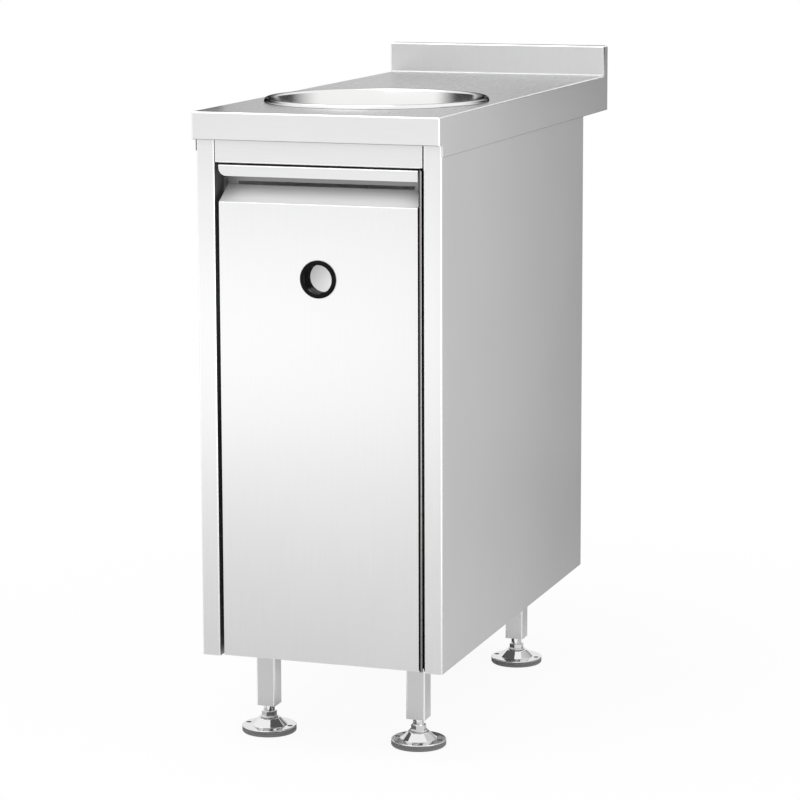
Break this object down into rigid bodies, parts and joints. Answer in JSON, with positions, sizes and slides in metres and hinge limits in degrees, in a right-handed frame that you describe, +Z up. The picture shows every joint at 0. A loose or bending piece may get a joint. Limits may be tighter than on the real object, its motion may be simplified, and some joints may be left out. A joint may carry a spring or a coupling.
{
  "type": "service bar waste cabinet",
  "caption": "Stainless steel bar cabinet with a round drop hole in the worktop, a rear upstand, a hinged door with a black port, and square legs on screw-adjusted feet.",
  "frame": {"origin": "on the floor under the middle of the worktop", "axes": "+Z up, -Y towards the door, +X towards the hinge side"},
  "size_m": [0.32, 0.76, 0.842],
  "materials": {
    "brushed_stainless": "fine satin brushed",
    "polished_stainless": "polished",
    "chromed_steel": "bright chrome",
    "black_plastic": "satin moulded",
    "grey_rubber": "matte",
    "grey_nylon": "moulded"
  },
  "bodies": {
    "cabinet": {"worktop": "brushed_stainless", "front_stiffener": "brushed_stainless", "rear_stiffener": "brushed_stainless", "drop_rim": "polished_stainless", "drop_retainer": "brushed_stainless", "left_side_panel": "brushed_stainless", "right_side_panel": "brushed_stainless", "back_panel": "brushed_stainless", "floor_pan": "brushed_stainless", "top_rail": "brushed_stainless", "rear_tie_rail": "brushed_stainless", "hinge_frame_leaf": "brushed_stainless", "hinge_pin": "polished_stainless", "catch_magnet": "black_plastic", "catch_screw_left": "polished_stainless", "catch_screw_right": "polished_stainless", "door_bumper_left": "grey_rubber", "door_bumper_right": "grey_rubber", "front_left_leg": "brushed_stainless", "front_right_leg": "brushed_stainless", "rear_left_leg": "brushed_stainless", "rear_right_leg": "brushed_stainless", "front_left_leg_plate": "brushed_stainless", "front_right_leg_plate": "brushed_stainless", "rear_left_leg_plate": "brushed_stainless", "rear_right_leg_plate": "brushed_stainless", "front_left_leg_insert": "grey_nylon", "front_right_leg_insert": "grey_nylon", "rear_left_leg_insert": "grey_nylon", "rear_right_leg_insert": "grey_nylon"},
    "door": {"door_outer_skin": "brushed_stainless", "door_inner_skin": "brushed_stainless", "door_grip_channel": "brushed_stainless", "door_port_liner": "black_plastic", "door_port_nut": "black_plastic", "hinge_door_leaf": "brushed_stainless", "catch_strike": "polished_stainless"},
    "front_left_foot": {"front_left_foot_base": "chromed_steel", "front_left_foot_sole": "grey_rubber"},
    "front_right_foot": {"front_right_foot_base": "chromed_steel", "front_right_foot_sole": "grey_rubber"},
    "rear_left_foot": {"rear_left_foot_base": "chromed_steel", "rear_left_foot_sole": "grey_rubber"},
    "rear_right_foot": {"rear_right_foot_base": "chromed_steel", "rear_right_foot_sole": "grey_rubber"},
    "front_left_stem": {"front_left_foot_stem": "chromed_steel"},
    "front_right_stem": {"front_right_foot_stem": "chromed_steel"},
    "rear_left_stem": {"rear_left_foot_stem": "chromed_steel"},
    "rear_right_stem": {"rear_right_foot_stem": "chromed_steel"}
  },
  "joints": [
    {"name": "door_hinge", "type": "hinge", "parent": "cabinet", "child": "door", "pos_m": [0.13165, -0.3685, 0.426], "axis": [0, 0, 1], "range_deg": [0, 165]},
    {"name": "front_left_height", "type": "slide", "parent": "cabinet", "child": "front_left_foot", "axis": [0, 0, -1], "range_m": [0, 0.025]},
    {"name": "front_right_height", "type": "slide", "parent": "cabinet", "child": "front_right_foot", "axis": [0, 0, -1], "range_m": [0, 0.025]},
    {"name": "rear_left_height", "type": "slide", "parent": "cabinet", "child": "rear_left_foot", "axis": [0, 0, -1], "range_m": [0, 0.025]},
    {"name": "rear_right_height", "type": "slide", "parent": "cabinet", "child": "rear_right_foot", "axis": [0, 0, -1], "range_m": [0, 0.025]},
    {"name": "front_left_turn", "type": "hinge", "parent": "front_left_foot", "child": "front_left_stem", "pos_m": [-0.101, -0.2886, 0.03], "axis": [0, 0, -1], "range_deg": [0, 5150]},
    {"name": "front_right_turn", "type": "hinge", "parent": "front_right_foot", "child": "front_right_stem", "pos_m": [0.101, -0.2886, 0.03], "axis": [0, 0, -1], "range_deg": [0, 5150]},
    {"name": "rear_left_turn", "type": "hinge", "parent": "rear_left_foot", "child": "rear_left_stem", "pos_m": [-0.101, 0.1354, 0.03], "axis": [0, 0, -1], "range_deg": [0, 5150]},
    {"name": "rear_right_turn", "type": "hinge", "parent": "rear_right_foot", "child": "rear_right_stem", "pos_m": [0.101, 0.1354, 0.03], "axis": [0, 0, -1], "range_deg": [0, 5150]}
  ],
  "couplings": [
    {"joint": "front_left_turn", "follows": "front_left_height", "rad_per_m": 3590.4},
    {"joint": "front_right_turn", "follows": "front_right_height", "rad_per_m": 3590.4},
    {"joint": "rear_left_turn", "follows": "rear_left_height", "rad_per_m": 3590.4},
    {"joint": "rear_right_turn", "follows": "rear_right_height", "rad_per_m": 3590.4}
  ]
}
